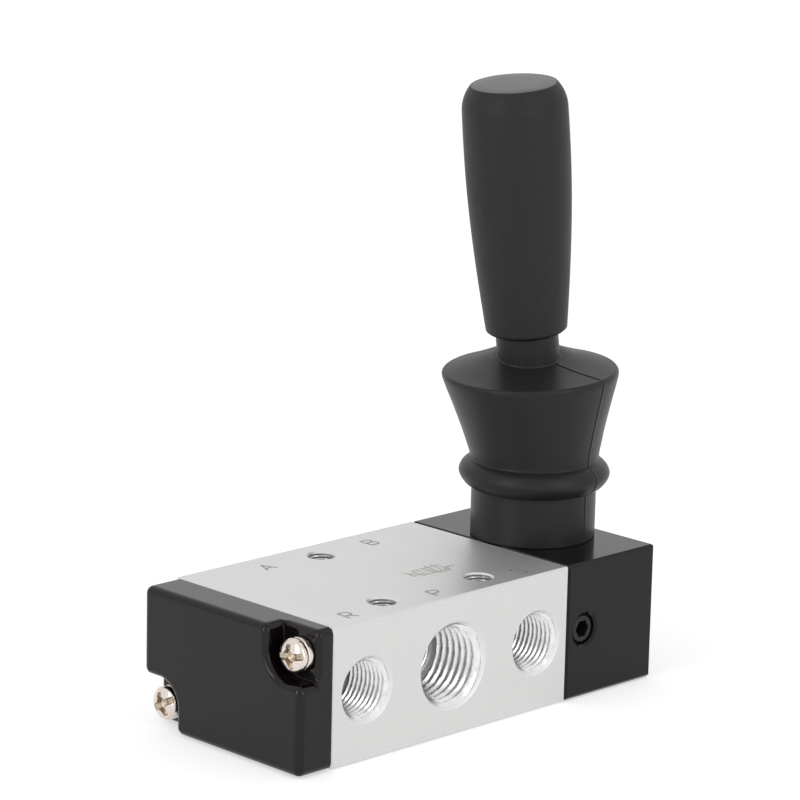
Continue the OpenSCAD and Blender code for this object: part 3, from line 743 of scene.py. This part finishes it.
def letter_paths(letter):
    """Strokes of a port letter, as high as 1, from its lower left corner."""
    stem = line((0, 0), (0, 1))
    double_bend = smooth_line(
        [(0.70, 0.80), (0.60, 0.95), (0.38, 1.0), (0.14, 0.94), (0.06, 0.76), (0.16, 0.60),
         (0.38, 0.51), (0.60, 0.41), (0.70, 0.25), (0.61, 0.07), (0.36, 0.0), (0.12, 0.05),
         (0.02, 0.20)], 60)
    return {
        "A": [line((0, 0), (0.38, 1)), line((0.38, 1), (0.76, 0)), line((0.13, 0.34), (0.63, 0.34))],
        "B": [stem, bow(0.5, 1, 0.62), bow(0, 0.5, 0.70)],
        "P": [stem, bow(0.46, 1, 0.66)],
        "R": [stem, bow(0.46, 1, 0.66), line((0.32, 0.46), (0.68, 0))],
        "S": [double_bend],
    }[letter]


def symbol_paths():
    """Circuit symbol of a five port valve with two positions, as high as 1:
    two boxes with their flow arrows, the lever on the left and the detent on
    the right."""
    return [
        line((0, 0), (1, 0), (1, 1), (0, 1), (0, 0)),
        line((1, 0), (2, 0), (2, 1), (1, 1)),
        line((0.5, 0.08), (0.28, 0.92)), line((0.75, 0.92), (0.85, 0.08)),
        line((0.15, 0.08), (0.15, 0.34)),
        line((1.5, 0.08), (1.72, 0.92)), line((1.28, 0.92), (1.15, 0.08)),
        line((1.85, 0.08), (1.85, 0.34)),
        line((0, 0.25), (-0.55, 0.25)), line((0, 0.55), (-0.55, 0.55)),
        line((-0.55, 0.1), (-0.55, 0.7)), line((-0.3, 0.55), (-0.62, 1.15)),
        line((2, 0.35), (2.7, 0.35)), line((2.2, 0.5), (2.32, 0.36), (2.44, 0.5)),
        line((1.28, 1), (1.28, 1.3)), line((1.72, 1), (1.72, 1.3)),
        line((1.5, 0), (1.5, -0.3)), line((1.15, 0), (1.15, -0.3)), line((1.85, 0), (1.85, -0.3)),
    ]


# Boot

def boot_rings():
    """Outer and inner outline of the boot as rows of (height, radius).

    Foot and bead stand upright; waist and cone follow a smooth curve through
    measured radii; the shoulder is a small arc; the top is a parabola that
    rises between shoulder and neck; the neck is a slim cone with a flared foot.
    """
    foot = np.array([[22.02, 9.9], [22.1, 10.0], [25, 10.0], [29.0, 10.0], [29.8, 10.0],
                     [29.88, 10.02]])
    bead = smooth_line(
        [[29.88, 10.02], [30.02, 10.35], [30.45, 11.0], [31.0, 11.5], [31.6, 11.88],
         [32.3, 12.1], [33.0, 11.95], [33.65, 11.55], [34.1, 11.05], [34.4, 10.6],
         [34.5, 10.38]], 90)
    cone = smooth_line(
        [[34.5, 10.38], [34.75, 10.34], [35.2, 10.36], [36.0, 10.5], [37, 10.75], [39, 11.26],
         [41, 11.82], [44, 12.71], [46.5, 13.5], [48.2, 14.0]], 66)
    rim = arc((13.4, 48.72), 0.68, 4, 88, 12)[:, ::-1]
    t = np.linspace(0, 1, 40)
    top = np.column_stack([49.4 + 1.92 * (0.82 * t + 0.18 * t**3), 13.35 + (5.32 - 13.35) * t])
    fillet = arc((51.62, 5.32), 0.3, 180, 270, 9)
    neck = np.array([[51.72, 5.015], [52.5, 5.0], [54.0, 4.97], [55.1, 4.96], [55.24, 4.95],
                     [55.34, 4.89], [55.38, 4.8]])
    inner = np.array([[55.38, 4.12], [51.0, 4.12], [49.9, 6.0], [49.3, 9.5], [47.8, 12.2],
                      [44, 11.0], [39, 9.6], [35.6, 8.85], [34.0, 8.8], [32.3, 8.6],
                      [30, 8.5], [25.2, 8.5], [25.2, 7.24], [24.1, 7.24], [24.1, 8.5],
                      [22.02, 8.5]])
    return np.vstack([foot, bead[1:], cone[1:], rim, top, fillet[1:], neck]), inner


def boot_lean(z):
    """Middle of a ring at height z in millimetres, and its tilt: upright up to
    the waist, then the middle runs back in a straight line and the tilt grows,
    until the neck shares the lever's axis."""
    x = np.interp(z, [22, 33.5, 34.8, 49.0, 50.9, 55.3], [35.3, 35.3, 35.28, 33.66, 33.26, 32.61])
    tilt = np.interp(z, [22, 34.0, 34.8, 49.0, 50.4, 51.0, 56], [0, 0, 0.7, 3.3, 4.6, 6.2, 6.6])
    return x, np.radians(tilt)


def boot_surface():
    """Boot skin: each ring of the outline is tilted about its own middle, and
    two mould lines lie opposite each other as fine grooves with a raised lip
    beside them: the radius drops by a narrow bell curve of the distance from
    the line and rises by a wider, lower one just past it."""
    outer, inner = boot_rings()
    rings = np.vstack([outer, inner])
    z, r = rings[:, 0][:, None], rings[:, 1][:, None]
    outside = np.arange(len(rings))[:, None] < len(outer)
    rim_r, neck_r, neck_foot = 13.4, 5.3, 51.6
    seam_at = math.radians(-82)
    base = np.linspace(0, 2 * math.pi, 200, endpoint=False)
    near = seam_at + np.linspace(-0.08, 0.08, 33)
    angle = np.unique(np.concatenate([base, near, near + math.pi]) % (2 * math.pi))
    angle = angle[np.insert(np.diff(angle) > 1e-4, 0, True)][None, :]

    off = r * np.angle(np.exp(2j * (angle - seam_at))) / 2
    lip = 0.45 * np.exp(-(((off - 0.3) / 0.22) ** 2))
    groove = np.exp(-((off / 0.13) ** 2))
    ridge = bpy.context.scene.valve_sizes.seam_depth / MM * (lip - groove)
    # It is finer on the neck, and starts a little above the foot's edge
    ridge = ridge * np.where(z > neck_foot, 0.35, 1.0)
    radius = r + np.where(outside, ridge * np.clip(z - 22.3, 0, 1), 0)

    middle, tilt = boot_lean(z)
    x = radius * np.cos(angle)
    # The lever presses the top down at the front and draws it up at the back,
    # which fades out at the rim and up the neck
    pressed = np.clip((rim_r - r) / (rim_r - neck_r), 0, 1)
    pressed = pressed * (z > 47) * np.clip((54 - z) / 2, 0, 1)
    drawn = (0.5 + 0.5 * np.cos(angle - math.radians(45))) ** 3
    lift = x * np.sin(tilt)
    lift = lift + pressed * (0.16 * np.cos(angle) + 0.56 * np.sin(angle) + 1.1 * drawn)
    # On the flat top the ridge stands up and not out
    top = ((z > 49.36) & (z < 51.34) & (r < 13.5)) * outside
    points = np.stack(
        [middle + x * np.cos(tilt), radius * np.sin(angle), z + lift + top * ridge], axis=-1
    )
    return grid_piece("boot_skin", points * MM, True, 40)


# Handle

def handle_outline():
    """Outline of the grip as (distance from the pivot, radius): small chamfer
    at the foot, a swell that follows a quarter sine wave, a straight part, an
    arc at the crown and a flat top with a crisp edge."""
    t = np.linspace(0, 1, 60)
    swell = np.column_stack([24.6 + 29.4 * t, 6.5 + 1.85 * np.sin(math.pi / 2 * t**0.98)])
    foot = np.array([[24.15, 4.32], [23.92, 4.34], [23.92, 6.02], [23.95, 6.1], [24.2, 6.4],
                     [24.3, 6.47]])
    upper = smooth_line([[54.0, 8.35], [56.0, 8.35], [58.0, 8.335], [59.8, 8.3]], 14)
    a = np.radians(np.linspace(0, 41.0, 26))
    crown = np.column_stack([59.8 + 6.05 * np.sin(a), 8.3 - 6.05 * (1 - np.cos(a))])
    lid = np.array([[63.79, 6.74], [63.8, 6.68], [63.8, 4.0], [63.8, 2.0], [63.8, 0.0]])
    hole = np.array([[38.3, 0.0], [38.3, 4.62], [24.15, 4.62], [24.15, 4.3]])
    return np.vstack([foot, swell, upper[1:], crown[1:], lid, hole]) * MM


# Steps of the dressing

def seen_directly(tree):
    """Output that is 1 for rays from the camera, off a mirror and through glass,
    and 0 for the soft light between surfaces."""
    path = tree.nodes.new("ShaderNodeLightPath")
    seen = path.outputs["Is Camera Ray"]
    for kind in ("Is Glossy Ray", "Is Transmission Ray"):
        either = tree.nodes.new("ShaderNodeMath")
        either.operation = "MAXIMUM"
        tree.links.new(seen, either.inputs[0])
        tree.links.new(path.outputs[kind], either.inputs[1])
        seen = either.outputs[0]
    return seen


class VALVE_OT_stage(bpy.types.Operator):
    """Floor, lamps, world and the camera at the photograph's angle."""

    bl_idname = "valve.stage"
    bl_label = "Stage"

    def execute(self, context):
        scene = context.scene
        scene.view_settings.view_transform = "Standard"
        camera_data = bpy.data.cameras.new("camera")
        camera_data.lens = 166.5
        camera_data.sensor_width = 36.0
        camera_data.clip_start = 0.01
        camera = bpy.data.objects.new("camera", camera_data)
        # From a fit to the block's edges and the ports in the photograph
        right = (0.712737, -0.701090, 0.021873)
        down = (-0.146636, -0.179421, -0.972783)
        ahead = (0.685933, 0.690131, -0.230685)
        turn = Matrix([right, [-v for v in down], [-v for v in ahead]]).transposed()
        place = (-0.38453, -0.39161, 0.17939)
        camera.matrix_world = Matrix.Translation(place) @ turn.to_4x4()
        scene.collection.objects.link(camera)
        scene.camera = camera

        self.world(scene)
        self.floor()
        self.lamp(scene, "left", (-0.875, -0.02, 0.42), 2.2)
        self.lamp(scene, "right", (-0.01, -0.875, 0.42), 1.75)
        return {"FINISHED"}

    def world(self, scene):
        """Even white surroundings, as in a light tent, at 0.74 for soft light; the
        camera, mirrors and glass see plain white."""
        world = bpy.data.worlds.new("surroundings")
        world.use_nodes = True
        tree = world.node_tree
        tree.nodes.clear()
        output = tree.nodes.new("ShaderNodeOutputWorld")
        mix = tree.nodes.new("ShaderNodeMixShader")
        tree.links.new(seen_directly(tree), mix.inputs["Fac"])
        for into, strength in ((1, 0.74), (2, 1.0)):
            white = tree.nodes.new("ShaderNodeBackground")
            white.inputs["Color"].default_value = (1, 1, 1, 1)
            white.inputs["Strength"].default_value = strength
            tree.links.new(white.outputs["Background"], mix.inputs[into])
        tree.links.new(mix.outputs["Shader"], output.inputs["Surface"])
        scene.world = world

    def floor(self):
        """Flat pale floor under the valve, out to well past the view. What the
        camera sees of it is lifted a little, so that it is white but keeps the
        soft shadow round the foot of the valve."""
        side = np.linspace(-3.0, 3.0, 5)
        x, y = np.meshgrid(side, side)
        points = np.stack([x, y, np.full_like(x, -0.0002)], axis=-1)
        mesh = bpy.data.meshes.new("floor")
        index = np.arange(25).reshape(5, 5)
        faces = np.stack([index[:-1, :-1], index[:-1, 1:], index[1:, 1:], index[1:, :-1]], axis=-1)
        mesh.from_pydata(points.reshape(-1, 3).tolist(), [], faces.reshape(-1, 4).tolist())
        floor = linked("floor", mesh)
        made = Nodes("floor_paper")
        grain = made.noise(1.5 * MM, 2.0)
        made.tint(made.spread(grain, 0.0, 1.0), (0.66, 0.66, 0.66), 0.995, 1.005)
        made.rough(grain, 0.8, 0.9)
        made.shader.inputs["Specular IOR Level"].default_value = 0.1
        lift = made.add("ShaderNodeMath", operation="MULTIPLY")
        lift.inputs[1].default_value = 0.52
        made.tree.links.new(seen_directly(made.tree), lift.inputs[0])
        made.join(lift, 0, made.shader, "Emission Strength")
        made.shader.inputs["Emission Color"].default_value = (1, 1, 1, 1)
        mesh.materials.append(made.material)

    def lamp(self, scene, name, place, watts):
        """Tall soft light that faces a point above the valve."""
        target = (0.0, 0.0, 0.32)
        data = bpy.data.lights.new(name, "AREA")
        data.shape = "RECTANGLE"
        data.size, data.size_y = 0.24, 0.8
        data.energy = watts
        lamp = bpy.data.objects.new(name, data)
        place, target = np.array(place), np.array(target)
        ahead = (target - place) / np.linalg.norm(target - place)
        right = np.cross(ahead, (0, 0, 1))
        right /= np.linalg.norm(right)
        up = np.cross(right, ahead)
        turn = Matrix([list(right), list(up), list(-ahead)]).transposed()
        lamp.matrix_world = Matrix.Translation(place.tolist()) @ turn.to_4x4()
        scene.collection.objects.link(lamp)


class VALVE_OT_body(bpy.types.Operator):
    """Ported body: merged copy of its solid, and rings in the drilled holes."""

    bl_idname = "valve.body"
    bl_label = "Valve body"

    def execute(self, context):
        body = copy_of("valve_body", "body_block")
        wear(body, "valve_aluminium", "valve")
        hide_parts("valve_body")
        places = {"left": (-10.3, -12.3), "right": (10.3, -12.3), "rear": (0.0, 12.0)}
        for name, (x, y) in places.items():
            sleeve = ringed_sleeve(f"mount_hole_{name}", x * MM, y * MM, 2.15 * MM,
                                   0.3 * MM, BODY_TOP - 0.3 * MM)
            wear(sleeve, "valve_drilled", "valve")
        return {"FINISHED"}


class VALVE_OT_port_threads(bpy.types.Operator):
    """Screw threads of the five ports."""

    bl_idname = "valve.port_threads"
    bl_label = "Port threads"

    def execute(self, context):
        sizes = context.scene.valve_sizes
        quarter = (6.58 * MM, 5.72 * MM, sizes.quarter_pitch, 9.5 * MM, 0.45 * MM)
        eighth = (4.86 * MM, 4.283 * MM, sizes.eighth_pitch, 8.6 * MM, 0.45 * MM)
        ports = [("p", 0.0, -1, quarter), ("r", -18.2, -1, eighth), ("s", 18.2, -1, eighth),
                 ("a", -11.0, 1, quarter), ("b", 11.0, 1, quarter)]
        for name, x, side, form in ports:
            sleeve = thread_sleeve(f"thread_{name}", x * MM, side, *form)
            wear(sleeve, "valve_thread", "valve")
            sleeve.data.materials.append(finishes()["valve_mouth"])
            if form is quarter:
                ground = port_floor(f"floor_{name}", x * MM, side, 10.0 * MM, 2.05 * MM, 4.88 * MM)
                wear(ground, "valve_thread", "valve")
        return {"FINISHED"}


class VALVE_OT_port_marks(bpy.types.Operator):
    """Etched letters beside the ports and the circuit symbol, in thin strokes."""

    bl_idname = "valve.port_marks"
    bl_label = "Port letters"

    def execute(self, context):
        sizes = context.scene.valve_sizes
        marks = [("A", -12.0, 11.2), ("B", 10.3, 11.2), ("R", -20.05, -15.5),
                 ("P", -1.8, -15.6), ("S", 16.2, -15.6)]
        for letter, x, y in marks:
            self.mark(f"mark_{letter}", letter_paths(letter), (x, y), sizes.letter_height,
                      sizes.letter_stroke, "valve_etched")
        self.mark("mark_circuit", symbol_paths(), (4.4, -6.36), sizes.symbol_height,
                  0.5 * sizes.letter_stroke, "valve_etched_fine")
        return {"FINISHED"}

    def mark(self, name, paths, place, height, stroke, material):
        """One mark from its strokes, joined into a single piece."""
        strokes = (self.stroke(name, path * height + np.array(place) * MM, stroke, index)
                   for index, path in enumerate(paths))
        wear(join_pieces(name, strokes), material, "valve")

    def stroke(self, name, path, width, index):
        """One stroke, which lies a hair higher than the one before it."""
        top = BODY_TOP + (0.03 + 0.0008 * index) * MM
        return grid_piece(name, ribbon(path, width, BODY_TOP - 0.02 * MM, top), False)


class VALVE_OT_end_cap(bpy.types.Operator):
    """End cap with rounded screw recesses, its screws and washers."""

    bl_idname = "valve.end_cap"
    bl_label = "End cap"

    def execute(self, context):
        cap = grid_piece("cap_moulding", cap_surface(), False, 40)
        wear(cap, "valve_cap_plastic", "valve")
        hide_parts("end_cap")
        screw_pair("end_cap_screws", "cap_screws")
        washer_pair("cap_washers", "end_cap_washers", -1)
        return {"FINISHED"}


class VALVE_OT_lever_housing(bpy.types.Operator):
    """Lever housing with its screws, washers and the detent set screw."""

    bl_idname = "valve.lever_housing"
    bl_label = "Lever housing"

    def execute(self, context):
        housing = softened(copy_of("lever_housing", "housing_block"), 0.08 * MM)
        wear(housing, "valve_black_anodised", "valve")
        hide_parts("lever_housing")
        screw_pair("housing_screws", "housing_screw_set")
        washer_pair("housing_washer_set", "housing_washers", 1)
        grub = softened(copy_of("detent_set_screw", "grub_screw"), 0.06 * MM)
        wear(grub, "valve_black_oxide", "valve")
        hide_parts("detent_set_screw")
        return {"FINISHED"}


class VALVE_OT_handle(bpy.types.Operator):
    """Grip: its outline turned about the leaning lever axis."""

    bl_idname = "valve.handle"
    bl_label = "Handle"

    def execute(self, context):
        outline = handle_outline()
        angle = ring_angles(context.scene.valve_sizes.sides)
        along, r = outline[:, 0][:, None], outline[:, 1][:, None]
        grip = grid_piece("grip", around_lever(r, along, angle), True, 30)
        wear(grip, "valve_grip_plastic", "lever")
        grip.data.materials.append(finishes()["valve_grip_end"])
        # The flat top is smoother than the side
        axis = np.array([-math.sin(LEAN), 0, math.cos(LEAN)])
        give_second(grip, per_face(grip, "normal") @ axis > 0.998)
        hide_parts("handle_grip")
        return {"FINISHED"}


class VALVE_OT_boot(bpy.types.Operator):
    """Rubber boot between the turret and the lever, shaped to the lever's lean at rest."""

    bl_idname = "valve.boot"
    bl_label = "Boot"

    def execute(self, context):
        boot = boot_surface()
        boot.data.materials.append(finishes()["valve_rubber"])
        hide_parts("dust_boot")
        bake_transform(boot)
        return {"FINISHED"}


class VALVE_OT_inner_parts(bpy.types.Operator):
    """Finishes of the pieces inside: spool, seals, turret, lever and detent."""

    bl_idname = "valve.inner_parts"
    bl_label = "Inner parts"

    def execute(self, context):
        finish = {
            "spool": "valve_spool",
            "spool_seals": "valve_seal",
            "rod_seal": "valve_seal",
            "end_cap_seal": "valve_seal",
            "turret_seal": "valve_seal",
            "lever_turret": "valve_turret",
            "pivot_pin": "valve_steel",
            "lever_stem": "valve_steel",
            "detent_ball": "valve_steel",
            "detent_spring": "valve_steel",
            "handle_insert": "valve_brass",
        }
        for node, material in finish.items():
            repaint(node, material)
        return {"FINISHED"}


STEPS = (
    VALVE_OT_stage,
    VALVE_OT_body,
    VALVE_OT_port_threads,
    VALVE_OT_port_marks,
    VALVE_OT_end_cap,
    VALVE_OT_lever_housing,
    VALVE_OT_handle,
    VALVE_OT_boot,
    VALVE_OT_inner_parts,
)


class VALVE_PT_pieces(bpy.types.Panel):
    """Lists the pieces of the valve and the sizes behind them."""

    bl_idname = "VALVE_PT_pieces"
    bl_label = "Valve"
    bl_space_type = "VIEW_3D"
    bl_region_type = "UI"
    bl_category = "Valve"

    def draw(self, context):
        layout = self.layout
        for step in STEPS:
            layout.operator(step.bl_idname)
        for group in (context.scene.valve_sizes, context.scene.valve_colours):
            box = layout.box()
            for key in group.bl_rna.properties.keys():
                if key not in {"rna_type", "name"}:
                    box.prop(group, key)


CLASSES = (ValveSizes, ValveColours, *STEPS, VALVE_PT_pieces)


def register():
    for cls in CLASSES:
        bpy.utils.register_class(cls)
    bpy.types.Scene.valve_sizes = PointerProperty(type=ValveSizes)
    bpy.types.Scene.valve_colours = PointerProperty(type=ValveColours)


def unregister():
    del bpy.types.Scene.valve_colours
    del bpy.types.Scene.valve_sizes
    for cls in reversed(CLASSES):
        bpy.utils.unregister_class(cls)


def main():
    register()
    bpy.ops.valve.stage()
    bpy.ops.valve.body()
    bpy.ops.valve.port_threads()
    bpy.ops.valve.port_marks()
    bpy.ops.valve.end_cap()
    bpy.ops.valve.lever_housing()
    bpy.ops.valve.handle()
    bpy.ops.valve.boot()
    bpy.ops.valve.inner_parts()


if __name__ == "__main__":
    main()
